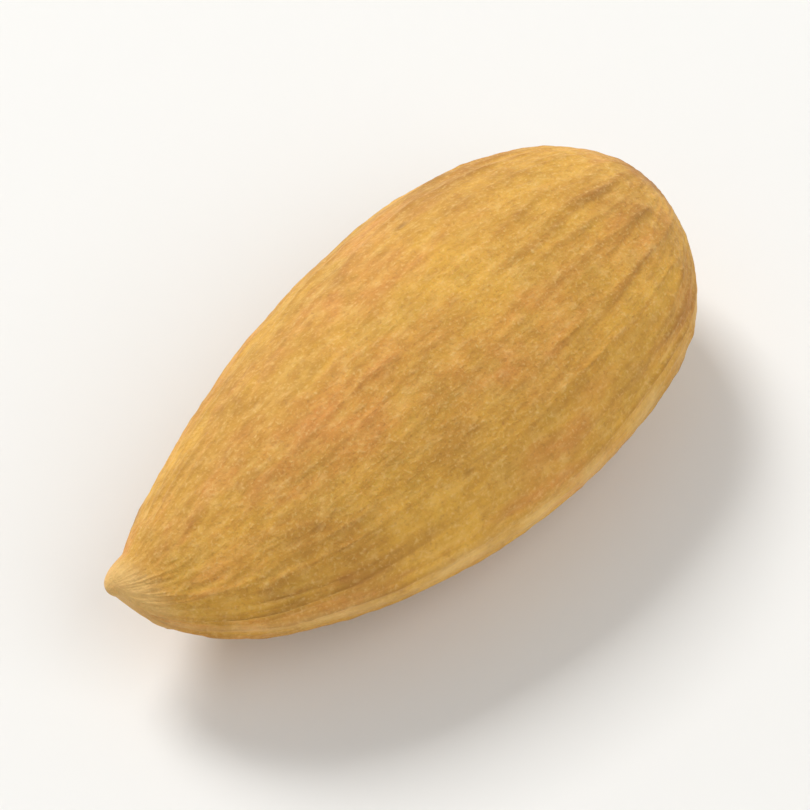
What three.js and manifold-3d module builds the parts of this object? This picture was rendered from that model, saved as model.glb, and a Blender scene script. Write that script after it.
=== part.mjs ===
// A shelled almond kernel in its brown skin, lying on one broad side.
//
// Units are millimetres and +Z is up.  The sharp tip points along +X, the
// straighter margin is at -Y and the fuller one at +Y.  The origin is at the
// middle of the bounding box's bottom, on the flat spot that it rests on.
//
// The kernel starts as a unit sphere with its poles at the tip and at the
// blunt end.  Each ring of the sphere becomes one cross-section: a low lens
// as wide as the two margins allow and as thick as the kernel is there.

import * as THREE from 'three';
import { mergeVertices } from 'three/addons/utils/BufferGeometryUtils.js';
import Module from 'manifold-3d';

// Size of the whole kernel.
const LENGTH = 25.0;
const THICKNESS = 8.1;

// How far each margin stands off the line from the tip to the blunt end.
const STRAIGHT_REACH = 5.15;
const FULL_REACH = 7.65;

// How each outline leaves the tip and comes to the blunt end.  A power near
// 1 runs in straight, like a cone, and one near 0.5 swells out round.
const STRAIGHT_TIP_POWER = 0.91;
const STRAIGHT_END_POWER = 0.47;
const FULL_TIP_POWER = 0.47;
const FULL_END_POWER = 0.41;
const FACE_TIP_POWER = 0.6;
const FACE_END_POWER = 0.43;

// The lens section: above 1 the margins are keeled, at 1 it is an ellipse.
const KEEL_POWER = 1.18;

// The nib is a small bead, half sunk in the sharp tip.
const NIB_OUT = 0.18;
const NIB_HALF_LENGTH = 0.65;
const NIB_HALF_WIDTH = 0.55;
const NIB_HALF_THICKNESS = 0.45;
const NIB_BLEND_POWER = 2.4;

// Height of the cap that the flat resting spot takes off the underside.
const FLAT_SPOT_DEPTH = 0.12;

// Steps round the kernel and along it.
const STEPS_ROUND = 72;
const STEPS_ALONG = 56;

// On the unit sphere: points closer than this are one, or are the pole.
const MERGE_DISTANCE = 1e-5;
const POLE_RADIUS = 1e-6;

// An outline that leaves zero at the tip (station 0), reaches its greatest
// value on the way and comes back to zero at the blunt end (station 1).
function outline(station, reach, tipPower, endPower) {
  const widest = tipPower / (tipPower + endPower);
  const rise = (station / widest) ** tipPower;
  const fall = ((1 - station) / (1 - widest)) ** endPower;
  return reach * rise * fall;
}

// The bead at the tip: a half-ellipse over its own length, then nothing.
function nib(distance, halfWidth) {
  const along = (distance - NIB_HALF_LENGTH) / NIB_HALF_LENGTH;
  return halfWidth * Math.sqrt(Math.max(0, 1 - along * along));
}

// The kernel's outline and the nib joined without a sharp corner.
function joined(body, bead) {
  return (body ** NIB_BLEND_POWER + bead ** NIB_BLEND_POWER) ** (1 / NIB_BLEND_POWER);
}

// How far the skin reaches from the axis at a distance from the tip: towards
// each margin, and half the thickness.
function reachesAt(distance) {
  const station = Math.max(0, distance - NIB_OUT) / (LENGTH - NIB_OUT);
  const straight = outline(station, STRAIGHT_REACH, STRAIGHT_TIP_POWER, STRAIGHT_END_POWER);
  const full = outline(station, FULL_REACH, FULL_TIP_POWER, FULL_END_POWER);
  const face = outline(station, THICKNESS / 2, FACE_TIP_POWER, FACE_END_POWER);
  return {
    straight: joined(straight, nib(distance, NIB_HALF_WIDTH)),
    full: joined(full, nib(distance, NIB_HALF_WIDTH)),
    face: joined(face, nib(distance, NIB_HALF_THICKNESS)),
  };
}

// Moves one point of the unit sphere, whose poles are on X, to the skin.
function placeOnSkin(point) {
  const distance = LENGTH * (1 - point.x) / 2;
  const reach = reachesAt(distance);
  const angle = Math.atan2(point.z, point.y);
  const onAxis = Math.hypot(point.y, point.z) < POLE_RADIUS;
  const middle = (reach.full - reach.straight) / 2;
  const halfWidth = (reach.full + reach.straight) / 2;
  const rise = Math.sign(point.z) * Math.abs(Math.sin(angle)) ** KEEL_POWER;
  point.x = LENGTH / 2 - distance;
  point.y = onAxis ? 0 : middle + halfWidth * Math.cos(angle);
  point.z = onAxis ? 0 : reach.face * rise;
  return point;
}

// The whole skin, closed, with its two poles turned onto the long axis.
function kernelGeometry() {
  const sphere = new THREE.SphereGeometry(1, STEPS_ROUND, STEPS_ALONG);
  sphere.rotateZ(-Math.PI / 2);
  sphere.deleteAttribute('normal');
  sphere.deleteAttribute('uv');
  const skin = mergeVertices(sphere, MERGE_DISTANCE);
  const positions = skin.attributes.position;
  const point = new THREE.Vector3();
  for (let i = 0; i < positions.count; i += 1) {
    point.fromBufferAttribute(positions, i);
    placeOnSkin(point);
    positions.setXYZ(i, point.x, point.y, point.z);
  }
  return skin;
}

// Puts the middle of the bounding box on the axis, and the level of the flat
// spot at zero.
function standOnFlatSpot(geometry) {
  geometry.computeBoundingBox();
  const { min, max } = geometry.boundingBox;
  const middleX = (min.x + max.x) / 2;
  const middleY = (min.y + max.y) / 2;
  geometry.translate(-middleX, -middleY, -min.z - FLAT_SPOT_DEPTH);
  return geometry;
}

// A box that fills everything under the level of the flat spot.
function blockBelow() {
  const block = new THREE.BoxGeometry(LENGTH, LENGTH, THICKNESS);
  block.translate(0, 0, -THICKNESS / 2);
  block.deleteAttribute('normal');
  block.deleteAttribute('uv');
  return mergeVertices(block);
}

function toSolid(wasm, geometry) {
  const vertProperties = Float32Array.from(geometry.attributes.position.array);
  const triVerts = Uint32Array.from(geometry.index.array);
  return new wasm.Manifold(new wasm.Mesh({ numProp: 3, vertProperties, triVerts }));
}

function toGeometry(solid) {
  const mesh = solid.getMesh();
  const geometry = new THREE.BufferGeometry();
  geometry.setAttribute('position', new THREE.BufferAttribute(mesh.vertProperties, 3));
  geometry.setIndex(new THREE.BufferAttribute(mesh.triVerts, 1));
  geometry.computeVertexNormals();
  return geometry;
}

const wasm = await Module();
wasm.setup();

const wholeKernel = toSolid(wasm, standOnFlatSpot(kernelGeometry()));
const restingKernel = wholeKernel.subtract(toSolid(wasm, blockBelow()));

// Dry papery skin: matt, golden brown, no shine.
const skin = new THREE.MeshStandardMaterial({ color: 0xc8964e, roughness: 0.8, metalness: 0 });

const almond = new THREE.Mesh(toGeometry(restingKernel), skin);
almond.name = 'almond';

const group = new THREE.Group();
group.add(almond);

export default group;
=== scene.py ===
"""A shelled almond kernel in its brown skin, lying on one broad side on a pale floor.

The kernel is one closed surface, worked out from the same outline as the solid
model and then wrinkled: long furrows run from the blunt end to the tip, and
finer wrinkles, a raised line along one margin and the scars at both ends lie
over them.  Lengths in the shape functions are millimetres; the mesh itself is
in metres, in the solid model's frame.
"""

import math

import bpy
import numpy as np
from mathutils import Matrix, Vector


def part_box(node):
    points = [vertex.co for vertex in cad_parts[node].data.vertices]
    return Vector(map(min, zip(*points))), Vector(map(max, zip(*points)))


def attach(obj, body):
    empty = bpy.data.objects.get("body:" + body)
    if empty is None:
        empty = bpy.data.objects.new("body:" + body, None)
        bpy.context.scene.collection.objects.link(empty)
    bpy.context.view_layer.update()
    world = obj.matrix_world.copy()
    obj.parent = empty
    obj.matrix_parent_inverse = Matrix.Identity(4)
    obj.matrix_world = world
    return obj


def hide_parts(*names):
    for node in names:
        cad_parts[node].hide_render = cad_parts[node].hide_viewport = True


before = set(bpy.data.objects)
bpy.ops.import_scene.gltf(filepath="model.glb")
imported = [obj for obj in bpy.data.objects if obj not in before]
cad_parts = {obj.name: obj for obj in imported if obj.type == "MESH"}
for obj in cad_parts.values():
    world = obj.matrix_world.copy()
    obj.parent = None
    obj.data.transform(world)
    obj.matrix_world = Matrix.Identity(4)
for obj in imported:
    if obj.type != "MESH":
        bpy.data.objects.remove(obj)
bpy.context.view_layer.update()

MM = 0.001

# ---------------------------------------------------------------- the kernel's size

LOW, HIGH = (np.array(corner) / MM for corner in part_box("almond"))
LENGTH, WIDTH, HEIGHT = HIGH - LOW

# The flat spot takes a cap this deep off the underside.
FLAT_SPOT_DEPTH = 0.12
THICKNESS = HEIGHT + FLAT_SPOT_DEPTH

# The straight margin's share of the width: 5.15 of 12.8 mm.
STRAIGHT_SHARE = 5.15 / 12.8

# How far the margins and the faces stand off the long axis, and the powers that
# shape their run from the tip and to the blunt end.
STRAIGHT_MARGIN = {"reach": STRAIGHT_SHARE * WIDTH, "tip_power": 0.91, "end_power": 0.47}
FULL_MARGIN = {"reach": (1 - STRAIGHT_SHARE) * WIDTH, "tip_power": 0.47, "end_power": 0.41}
FACE = {"reach": THICKNESS / 2, "tip_power": 0.6, "end_power": 0.43}

# Over 1, this power keels the section at both margins.
KEEL_POWER = 1.18

# The nib: a bead half sunk in the tip.
NIB_OUT = 0.18
NIB_HALF_LENGTH = 0.65
NIB_HALF_WIDTH = 0.55
NIB_HALF_THICKNESS = 0.45
NIB_BLEND_POWER = 2.4

# Grid of the skin: 191,360 triangles.
STEPS_ALONG = 300
STEPS_ROUND = 320


# ---------------------------------------------------------------- noise

def gradient_noise(points, seed):
    """Perlin's noise, about -0.7 to 0.7: each whole-number corner of space has a
    random direction, and a point blends the slopes of the eight corners round it.
    Each seed gives a pattern of its own, the same one every time."""
    rng = np.random.default_rng(seed)
    order = rng.permutation(256)
    slopes = rng.normal(size=(256, 3))
    slopes /= np.linalg.norm(slopes, axis=1, keepdims=True)
    corner = np.floor(points).astype(int)
    inside = points - corner
    fade = inside ** 3 * (inside * (inside * 6 - 15) + 10)
    total = np.zeros(points.shape[:-1])
    for step in np.ndindex(2, 2, 2):
        x, y, z = np.moveaxis(corner + step, -1, 0)
        pick = order[(order[(order[x & 255] + y) & 255] + z) & 255]
        slope = (slopes[pick] * (inside - step)).sum(-1)
        weight = np.where(np.array(step) == 1, fade, 1 - fade).prod(-1)
        total += slope * weight
    return total


def smooth_step(values, start, end):
    """0 up to start, 1 from end, and a smooth S between them."""
    t = np.clip((values - start) / (end - start), 0, 1)
    return t * t * (3 - 2 * t)


def bell(values, width):
    """1 at zero, falling off on both sides as a bell of this half-width."""
    return np.exp(-(values / width) ** 2)


# ---------------------------------------------------------------- the smooth shape

def outline(station, reach, tip_power, end_power):
    """Zero at the tip (station 0) and at the blunt end (station 1), and reach at
    its widest: a power of the way from the tip times a power of the way left."""
    widest = tip_power / (tip_power + end_power)
    rise = (station / widest) ** tip_power
    fall = ((1 - station) / (1 - widest)) ** end_power
    return reach * rise * fall


def with_nib(body, distance, half_width):
    """The body's outline joined to the nib's half-ellipse by a power mean."""
    across = (distance - NIB_HALF_LENGTH) / NIB_HALF_LENGTH
    bead = half_width * np.sqrt(np.clip(1 - across ** 2, 0, None))
    return (body ** NIB_BLEND_POWER + bead ** NIB_BLEND_POWER) ** (1 / NIB_BLEND_POWER)


def smooth_kernel(distance, angle):
    """A point of the unwrinkled skin, for a distance from the tip and an angle
    round the section: a low lens between the two margins, keeled at both.
    Returns the point and the section's mean radius."""
    station = np.clip((distance - NIB_OUT) / (LENGTH - NIB_OUT), 0, 1)
    straight = with_nib(outline(station, **STRAIGHT_MARGIN), distance, NIB_HALF_WIDTH)
    full = with_nib(outline(station, **FULL_MARGIN), distance, NIB_HALF_WIDTH)
    face = with_nib(outline(station, **FACE), distance, NIB_HALF_THICKNESS)
    rise = np.sign(np.sin(angle)) * np.abs(np.sin(angle)) ** KEEL_POWER
    x = LENGTH / 2 - distance
    y = (full - straight) / 2 + (full + straight) / 2 * np.cos(angle)
    z = face * rise
    mean_radius = ((full + straight) / 2 + face) / 2
    return np.stack([x, y, z], -1), mean_radius


def outward(points):
    """Unit normals of a grid that closes round its second side: the cross product
    of its two slopes, which points out of the kernel."""
    along = np.gradient(points, axis=0)
    around = (np.roll(points, -1, 1) - np.roll(points, 1, 1)) / 2
    normal = np.cross(around, along)
    return normal / np.linalg.norm(normal, axis=-1, keepdims=True).clip(1e-12)


# ---------------------------------------------------------------- the wrinkled skin

# The section's mean radius at its widest, and how closely the lines follow it: at 0
# they would all run from end to end, and at 1 they would stay the same way apart.
WIDEST_RADIUS = 5.2
BRANCHING = 0.2

# The seed's stalk left a scar on the straight margin, this far from the tip.
SCAR_FROM_TIP = 2.6
SCAR_HALF_LENGTH = 0.9

# The chalaza, the patch at the blunt end, is full up to the first radius and gone
# from the second.
CHALAZA_CENTRE = (-LENGTH / 2, 0.3, 0.2)
CHALAZA_FULL = 1.3
CHALAZA_GONE = 2.7

# The nib's colour reaches this far from the tip in full, and this far at all.
NIB_FULL = 0.5
NIB_GONE = 1.3

# How far each relief moves the skin out, in mm; below zero it goes in.
RELIEF = {
    "long_furrow": -0.09,
    "crease": -0.05,
    "short_furrow": -0.06,
    "vein": -0.03,
    "wrinkle": 0.045,
    "crumple": 0.04,
    "swell": 0.14,
    "dent": 0.07,
    "raphe": 0.07,
    "chalaza": -0.05,
    "scar": -0.04,
}


def flow(points, mean_radius, angle):
    """Where a point lies on the lines that run from end to end, in mm: a circle
    whose radius grows more slowly than the kernel, so lines fork as it widens,
    and the way over the skin from the tip.  The lines sway by a few hundredths
    of a radian."""
    sway = 0.05 * gradient_noise(points / 3.6, 11) + 0.02 * gradient_noise(points / 1.2, 12)
    radius = WIDEST_RADIUS * (mean_radius / WIDEST_RADIUS) ** BRANCHING
    turned = angle + sway
    step = np.hypot(np.diff(points[..., 0].mean(1)), np.diff(mean_radius[:, 0]))
    way = np.concatenate([[0], np.cumsum(step)])[:, None] + 0 * angle
    return np.stack([radius * np.cos(turned), radius * np.sin(turned), way], -1)


def furrows(lines, across, along, sharpness, seed):
    """1 in the bottom of a furrow and 0 on the skin between: furrows lie where a
    noise of cells this many mm across and along crosses zero."""
    field = gradient_noise(lines / (across, across, along), seed)
    return bell(field, sharpness)


def furrow_fields(lines, station, off_axis):
    """Furrows with a crease in the long ones, and veins that fan out from the blunt
    end and fade past the middle.  They are deep by both ends, faint in the middle
    of the faces, and run out where the skin closes in on a pole."""
    from_blunt_end = LENGTH * (1 - station)
    open_skin = smooth_step(off_axis, 0.5, 2.6)
    open_skin = open_skin * (0.25 + 0.75 * smooth_step(from_blunt_end, 0.3, 3.5))
    ends = 0.7 * (1 - smooth_step(station, 0.05, 0.45)) + 0.8 * smooth_step(station, 0.6, 0.95)
    uneven = np.clip(0.62 + 0.9 * gradient_noise(lines / (3.0, 3.0, 8.0), 21), 0.1, 1.2)
    strength = uneven * (0.45 + 0.6 * ends) * open_skin
    fanned = smooth_step(station, 0.35, 0.95) * open_skin
    return {
        "long_furrow": strength * furrows(lines, across=1.3, along=10.0, sharpness=0.09, seed=22),
        "crease": strength * furrows(lines, across=1.3, along=10.0, sharpness=0.03, seed=22),
        "short_furrow": strength * furrows(lines, across=0.62, along=4.5, sharpness=0.12, seed=23),
        "vein": fanned * furrows(lines, across=1.9, along=16.0, sharpness=0.05, seed=26),
    }


def crinkle_fields(points, lines, off_axis):
    """Fine lengthwise wrinkles and rounder crumples, none on the poles."""
    off_pole = smooth_step(off_axis, 0.3, 1.5)
    return {
        "wrinkle": gradient_noise(lines / (0.36, 0.36, 1.3), 24) * off_pole,
        "crumple": gradient_noise(points / 0.42, 25) * off_pole,
    }


def drying_fields(points, mean_radius):
    """Broad swellings and smaller dents, left by drying, none on the poles."""
    body = smooth_step(mean_radius, 0.5, 3.0)
    return {
        "swell": gradient_noise(points / 7.0, 31) * body,
        "dent": gradient_noise(points / 2.6, 32) * body,
    }


def margin_fields(points, mean_radius, distance, station, angle):
    """The two keeled margins, where handling wears the skin pale in places; the
    raphe, a raised line along the straight one from the tip to the blunt end; and
    by the tip the scar of the seed's stalk."""
    wander = 0.08 * gradient_noise(points / 4.0, 41)
    from_straight = np.abs(angle - np.pi) + wander
    raised = smooth_step(station, 0.1, 0.3) * smooth_step(mean_radius, 1.0, 3.5)
    worn = np.clip(0.8 + 0.9 * gradient_noise(points / 1.6, 42), 0, 1)
    return {
        "keel": bell(np.sin(angle) + wander, 0.18) * worn,
        "raphe": bell(from_straight, 0.1) * raised,
        "scar": bell(from_straight, 0.2) * bell(distance - SCAR_FROM_TIP, SCAR_HALF_LENGTH),
    }


def end_fields(points, lines, distance):
    """The nib at the tip, and at the blunt end the chalaza, a round worn patch with
    a frayed rim, where the seed was fed."""
    off_end = np.linalg.norm(points - CHALAZA_CENTRE, axis=-1)
    ragged = off_end + 0.7 * gradient_noise(lines / (0.8, 0.8, 4.0), 51)
    ragged += 0.9 * gradient_noise(points / 1.1, 52) + 0.3 * gradient_noise(points / 0.4, 53)
    worn = np.clip(0.8 + 0.8 * gradient_noise(points / 0.8, 54), 0, 1)
    return {
        "nib": 1 - smooth_step(distance, NIB_FULL, NIB_GONE),
        "chalaza": (1 - smooth_step(ragged, CHALAZA_FULL, CHALAZA_GONE)) * worn,
    }


def wrinkled_kernel():
    """The whole skin as a grid: the smooth kernel, moved along its normals by the
    sum of its reliefs.  Returns the points, their places on the lines, and the
    fields that the material reads."""
    turns = np.linspace(0, np.pi, STEPS_ALONG + 1)[1:-1]
    angles = np.linspace(0, 2 * np.pi, STEPS_ROUND, endpoint=False)
    turn, angle = np.meshgrid(turns, angles, indexing="ij")
    distance = LENGTH * (1 - np.cos(turn)) / 2
    station = distance / LENGTH
    points, mean_radius = smooth_kernel(distance, angle)
    lines = flow(points, mean_radius, angle)
    off_axis = np.hypot(points[..., 1], points[..., 2])

    fields = furrow_fields(lines, station, off_axis)
    fields |= crinkle_fields(points, lines, off_axis)
    fields |= drying_fields(points, mean_radius)
    fields |= margin_fields(points, mean_radius, distance, station, angle)
    fields |= end_fields(points, lines, distance)
    relief = sum(height * fields[name] for name, height in RELIEF.items())
    wrinkled = points + outward(points) * relief[..., None]

    furrowed = 0.6 * fields["long_furrow"] + 0.5 * fields["crease"] + 0.5 * fields["short_furrow"]
    marks = {name: fields[name] for name in ("vein", "keel", "chalaza", "scar", "nib")}
    # Darkness for the furrows in the material: partly residue, partly painted shade.
    marks["furrow_shade_and_residue"] = np.clip(furrowed, 0, 1)
    # Painted light and shade on the fine wrinkles: paler on their tops, darker in their lows.
    marks["wrinkle_light_and_shade"] = 0.5 + 0.5 * fields["wrinkle"] + 0.4 * fields["crumple"]
    return wrinkled, lines, marks


# ---------------------------------------------------------------- meshes

def disc_faces(rings, columns):
    """Faces of rings of vertices round vertex 0: quads from each ring to the next
    and a fan from vertex 0 to the first ring.  They face the side from which the
    columns are seen to run anticlockwise."""
    column = np.arange(columns)
    beside = (column + 1) % columns
    here = np.arange(rings - 1)[:, None] * columns + 1
    there = here + columns
    quads = np.stack([here + column, there + column, there + beside, here + beside], -1)
    fan = np.stack([0 * column, 1 + column, 1 + beside], -1)
    return [*quads.reshape(-1, 4).tolist(), *fan.tolist()]


def closing_faces(rings, columns):
    """The fan that closes such rings on one more vertex, after the last ring."""
    column = np.arange(columns)
    beside = (column + 1) % columns
    pole = rings * columns + 1
    last_ring = pole - columns
    return np.stack([pole + 0 * column, last_ring + beside, last_ring + column], -1).tolist()


def new_object(name, vertices, faces):
    """A smooth-shaded mesh object at the origin."""
    mesh = bpy.data.meshes.new(name)
    mesh.from_pydata(vertices, [], faces)
    mesh.polygons.foreach_set("use_smooth", np.ones(len(mesh.polygons), bool))
    mesh.update()
    piece = bpy.data.objects.new(name, mesh)
    bpy.context.scene.collection.objects.link(piece)
    return piece


def store(mesh, name, values):
    """Keeps a number or a vector for each vertex: the grid's values, and at each
    pole the mean of the ring beside it."""
    kind, field = ("FLOAT", "value") if values.ndim == 2 else ("FLOAT_VECTOR", "vector")
    first, last = values[0].mean(0), values[-1].mean(0)
    flat = np.concatenate([first.ravel(), values.ravel(), last.ravel()])
    layer = mesh.attributes.new(name, kind, "POINT")
    layer.data.foreach_set(field, flat.astype(np.float32))


def almond_kernel():
    """The kernel's skin: the wrinkled grid, set down so that its flat spot is at
    the floor, with one vertex at each end."""
    points, lines, marks = wrinkled_kernel()
    rings, columns = points.shape[:2]
    tip, blunt = points[0].mean(0), points[-1].mean(0)
    vertices = np.concatenate([[tip], points.reshape(-1, 3), [blunt]])
    middle = (vertices.max(0) + vertices.min(0)) / 2
    vertices[:, :2] += (LOW + HIGH)[:2] / 2 - middle[:2]
    vertices[:, 2] += THICKNESS / 2 - FLAT_SPOT_DEPTH
    vertices[:, 2] = np.maximum(vertices[:, 2], 0)
    faces = disc_faces(rings, columns) + closing_faces(rings, columns)
    piece = new_object("almond_kernel", vertices * MM, faces)
    store(piece.data, "flow", lines)
    for name, values in marks.items():
        store(piece.data, name, values)
    return piece


# ---------------------------------------------------------------- materials

def colour(code):
    """An sRGB hex colour as linear numbers, with full alpha."""
    parts = [int(code[i:i + 2], 16) / 255 for i in (0, 2, 4)]
    linear = [c / 12.92 if c <= 0.04045 else ((c + 0.055) / 1.055) ** 2.4 for c in parts]
    return (*linear, 1.0)


# Sockets of the mix node when it mixes colours.
FACTOR, COLOUR_A, COLOUR_B, MIXED = 0, 6, 7, 2


def add(tree, kind, settings=None, links=None):
    """Adds a node; settings are its properties and plain values, links its inputs,
    and a link of None is left out."""
    node = tree.nodes.new(kind)
    for name, value in (settings or {}).items():
        if isinstance(name, int) or name in node.inputs:
            node.inputs[name].default_value = value
        else:
            setattr(node, name, value)
    for name, socket in (links or {}).items():
        if socket is not None:
            tree.links.new(socket, node.inputs[name])
    return node


# The skin's colours, from its bare papery ground to its dust and its furrows; some of them also
# serve as painted shade in the furrows and as painted light and shade on the wrinkles.
TAN = "BF8B37"
GOLD = "DAA641"
RUSSET = "D18A47"
OLIVE = "BD9038"
STRAW = "E2B463"
DUST = "EBC683"
UMBER = "A8722F"
BROWN = "96642C"
DARK_BROWN = "8A5522"
PORE_BROWN = "7A4E24"

PAPER_WHITE = "E9E8E5"
LIGHT_WHITE = "FFFFFF"


def almond_skin():
    """Dry seed skin of a sweet almond: papery, matt and golden brown, with a dusty
    scurf on it, so it has almost no gloss. Its furrows are painted darker, partly as
    residue and partly as painted shade, and its fine wrinkles carry painted light and shade."""
    material = bpy.data.materials.new("dry_almond_skin")
    material.use_nodes = True
    tree = material.node_tree
    shader = tree.nodes["Principled BSDF"]

    def cells(where, sizes):
        """The place in cells of these sizes along the three axes."""
        scale = [1 / size for size in sizes]
        return add(tree, "ShaderNodeMapping", {"Scale": scale}, {"Vector": where}).outputs[0]

    def noise(where, sizes, detail):
        """A cloudy noise in cells of these sizes, with finer noise added to it as
        many times as detail says; it stays mostly between 0.3 and 0.7."""
        settings = {"Scale": 1.0, "Detail": detail, "Roughness": 0.6}
        made = add(tree, "ShaderNodeTexNoise", settings, {"Vector": cells(where, sizes)})
        return made.outputs["Fac"]

    def mark(name, output="Fac"):
        """What the mesh keeps at each vertex under this name."""
        return add(tree, "ShaderNodeAttribute", {"attribute_name": name}).outputs[output]

    def between(value, low, high, bottom, top):
        """Bottom where the value is low, top where it is high, even in between."""
        settings = {"From Min": low, "From Max": high, "To Min": bottom, "To Max": top}
        return add(tree, "ShaderNodeMapRange", settings, {"Value": value}).outputs[0]

    def bump(height, stands_out, under=None):
        """Relief that stands out this many mm where the height is 1."""
        links = {"Height": height, "Normal": under}
        return add(tree, "ShaderNodeBump", {"Distance": stands_out * MM}, links).outputs[0]

    # Two frames in mm: the kernel's own, and the lines that run from end to end.
    object_place = add(tree, "ShaderNodeTexCoord").outputs["Object"]
    place = cells(object_place, (MM, MM, MM))
    lines = mark("flow", "Vector")

    # Sizes in mm.  Blotches, patches and mottles come from drying and handling, and
    # warm bands and streaks follow the fibres.  The flecks and grains are scurf,
    # whose real scales of 0.1 mm are drawn wider, so that they show.
    blotch = noise(place, (4.5, 4.5, 4.5), 3)
    patch = noise(place, (1.6, 1.6, 1.6), 3)
    mottle = noise(place, (0.5, 0.5, 0.5), 3)
    warm = noise(lines, (2.2, 2.2, 6.3), 3)
    streak = noise(lines, (0.35, 0.35, 2.2), 3)
    fleck = noise(place, (0.52, 0.26, 0.26), 2)
    grain = noise(place, (0.13, 0.13, 0.13), 1)
    pores = {"Vector": cells(lines, (1.7, 1.7, 3.8))}
    from_pore = add(tree, "ShaderNodeTexVoronoi", {"Scale": 1.0}, pores).outputs["Distance"]

    # Each layer lies over the ones before it: the field that it follows, the
    # field's values where it is absent and where it is full, its strength there,
    # and its colour.
    layers = (
        (blotch, 0.35, 0.65, 1.00, GOLD),
        (warm, 0.48, 0.66, 0.65, RUSSET),
        (patch, 0.48, 0.66, 0.55, OLIVE),
        (mottle, 0.52, 0.72, 0.32, STRAW),
        (mottle, 0.48, 0.30, 0.28, UMBER),
        (streak, 0.50, 0.75, 0.28, STRAW),
        (streak, 0.50, 0.28, 0.25, UMBER),
        # Painted light and shade: the wrinkles' tops painted paler as if lit, their lows darker as
        # if shaded.
        (mark("wrinkle_light_and_shade"), 0.55, 0.80, 0.30, STRAW),
        (mark("wrinkle_light_and_shade"), 0.45, 0.20, 0.22, BROWN),
        # Darker in the furrows: partly residue in them, partly painted shade.
        (mark("furrow_shade_and_residue"), 0.10, 1.00, 0.50, DARK_BROWN),
        (mark("vein"), 0.10, 1.00, 0.40, DARK_BROWN),
        (fleck, 0.56, 0.70, 0.18, DUST),
        (fleck, 0.45, 0.30, 0.20, UMBER),
        (grain, 0.55, 0.80, 0.40, DUST),
        (grain, 0.42, 0.20, 0.35, BROWN),
        (from_pore, 0.10, 0.03, 0.40, PORE_BROWN),
        (mark("keel"), 0.20, 1.00, 0.45, DUST),
        (mark("chalaza"), 0.00, 1.00, 0.60, DARK_BROWN),
        (mark("scar"), 0.20, 0.90, 0.55, DARK_BROWN),
        (mark("nib"), 0.00, 1.00, 0.50, DUST),
    )
    tone = None
    for field, absent, full, strength, code in layers:
        settings = {"data_type": "RGBA", COLOUR_A: colour(TAN), COLOUR_B: colour(code)}
        links = {FACTOR: between(field, absent, full, 0.0, strength), COLOUR_A: tone}
        tone = add(tree, "ShaderNodeMix", settings, links).outputs[MIXED]
    tree.links.new(tone, shader.inputs["Base Color"])

    # Matt all over, and a little less so on the smooth skin between the scales.
    tree.links.new(between(grain, 0.3, 0.7, 0.72, 0.88), shader.inputs["Roughness"])

    # The streaks and the grains stand 0.03 mm out, the flecks 0.05 mm.
    skin = bump(streak, 0.03)
    skin = bump(fleck, 0.05, skin)
    skin = bump(grain, 0.03, skin)
    tree.links.new(skin, shader.inputs["Normal"])

    # Dry plant tissue: a low gloss, a trace of fuzz and a little light let in.
    shader.inputs["IOR"].default_value = 1.45
    shader.inputs["Specular IOR Level"].default_value = 0.35
    shader.inputs["Sheen Weight"].default_value = 0.08
    shader.inputs["Sheen Roughness"].default_value = 0.5
    shader.inputs["Subsurface Weight"].default_value = 0.06
    shader.inputs["Subsurface Scale"].default_value = 0.5 * MM
    return material


def matt_paper():
    """White background paper, coated matt: an even pale ground with no gloss."""
    material = bpy.data.materials.new("matt_white_paper")
    material.use_nodes = True
    shader = material.node_tree.nodes["Principled BSDF"]
    shader.inputs["Base Color"].default_value = colour(PAPER_WHITE)
    shader.inputs["Roughness"].default_value = 0.9
    shader.inputs["Specular IOR Level"].default_value = 0.2
    return material


# ---------------------------------------------------------------- the studio

CENTRE = Vector((LOW + HIGH) / 2 * MM)
CAMERA_AZIMUTH = 137
CAMERA_ELEVATION = 55
CAMERA_LENS = 300
SENSOR = 36

# The share of the picture's width that the kernel's length would take up.
FRAME_FILL = 0.9

# The camera sees nothing nearer or farther than this, in metres.
NEAREST = 0.001
FARTHEST = 5.0

# Radius of the paper's flat middle and of its bend upwards, in metres, and the
# rings and spokes of its grid.
FLOOR_FLAT = 0.4
FLOOR_BEND = 0.3
FLOOR_FIRST_RING = 0.01
FLAT_RINGS = 12
BEND_RINGS = 23
FLOOR_SPOKES = 96

# The lights' distance and the sides of their diffusers are in metres, their angles
# in degrees and their power in watts.
LIGHT_DISTANCE = 0.8
WINDOW_LIGHT = {"azimuth": -8, "elevation": 45, "size": 0.3, "power": 4.8}
FILL_LIGHT = {"azimuth": 200, "elevation": 50, "size": 0.7, "power": 2.2}
ROOM_LIGHT = 0.37

def towards(azimuth, elevation):
    """Unit vector from the kernel to a place seen at this azimuth and elevation."""
    a, e = math.radians(azimuth), math.radians(elevation)
    return Vector((math.sin(a) * math.cos(e), -math.cos(a) * math.cos(e), math.sin(e)))


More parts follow.
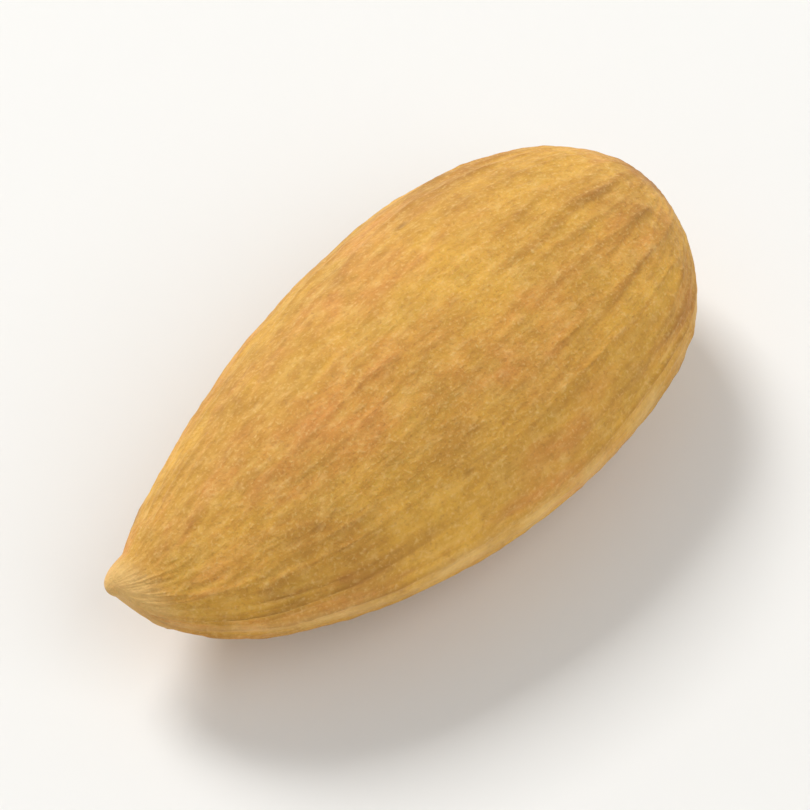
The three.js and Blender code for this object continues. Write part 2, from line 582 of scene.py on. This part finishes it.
def paper_sweep():
    """A round sheet of paper: flat in the middle, then bent up in a quarter circle
    all round, so no edge of the floor shows from any side."""
    flat = np.linspace(FLOOR_FIRST_RING, FLOOR_FLAT, FLAT_RINGS)
    bend = np.linspace(0, np.pi / 2, BEND_RINGS + 1)[1:]
    radius = np.concatenate([flat, FLOOR_FLAT + FLOOR_BEND * np.sin(bend)])
    height = np.concatenate([0 * flat, FLOOR_BEND * (1 - np.cos(bend))])
    angle = np.linspace(0, 2 * np.pi, FLOOR_SPOKES, endpoint=False)
    x = radius[:, None] * np.cos(angle)
    y = radius[:, None] * np.sin(angle)
    z = height[:, None] + 0 * angle
    points = np.stack([x, y, z], -1).reshape(-1, 3)
    vertices = np.concatenate([[[0, 0, 0]], points])
    return new_object("paper_sweep", vertices, disc_faces(len(radius), len(angle)))


def soft_light(name, azimuth, elevation, size, power):
    """A square diffuser that faces the kernel."""
    data = bpy.data.lights.new(name, "AREA")
    data.size = size
    data.energy = power
    data.color = colour(LIGHT_WHITE)[:3]
    lamp = bpy.data.objects.new(name, data)
    back = towards(azimuth, elevation)
    lamp.location = CENTRE + back * LIGHT_DISTANCE
    lamp.rotation_euler = back.to_track_quat("Z", "Y").to_euler()
    bpy.context.scene.collection.objects.link(lamp)


def room_light():
    """The pale room's even light."""
    world = bpy.data.worlds.new("pale_room")
    world.use_nodes = True
    background = world.node_tree.nodes["Background"]
    background.inputs["Color"].default_value = colour(LIGHT_WHITE)
    background.inputs["Strength"].default_value = ROOM_LIGHT
    bpy.context.scene.world = world


def camera():
    """A long lens, as far off as makes the kernel fill its share of the picture."""
    data = bpy.data.cameras.new("camera")
    data.lens = CAMERA_LENS
    data.sensor_width = SENSOR
    seen = LENGTH * MM / FRAME_FILL
    distance = seen * CAMERA_LENS / SENSOR
    made = bpy.data.objects.new("camera", data)
    back = towards(CAMERA_AZIMUTH, CAMERA_ELEVATION)
    made.location = CENTRE + back * distance
    made.rotation_euler = back.to_track_quat("Z", "Y").to_euler()
    data.clip_start = NEAREST
    data.clip_end = FARTHEST
    bpy.context.scene.collection.objects.link(made)
    bpy.context.scene.camera = made


# ---------------------------------------------------------------- putting it together

camera()

kernel = almond_kernel()
kernel.data.materials.append(almond_skin())
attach(kernel, "root")
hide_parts("almond")

paper = paper_sweep()
paper.data.materials.append(matt_paper())

soft_light("window_light", **WINDOW_LIGHT)
soft_light("fill_light", **FILL_LIGHT)
room_light()
bpy.context.scene.view_settings.view_transform = "Standard"
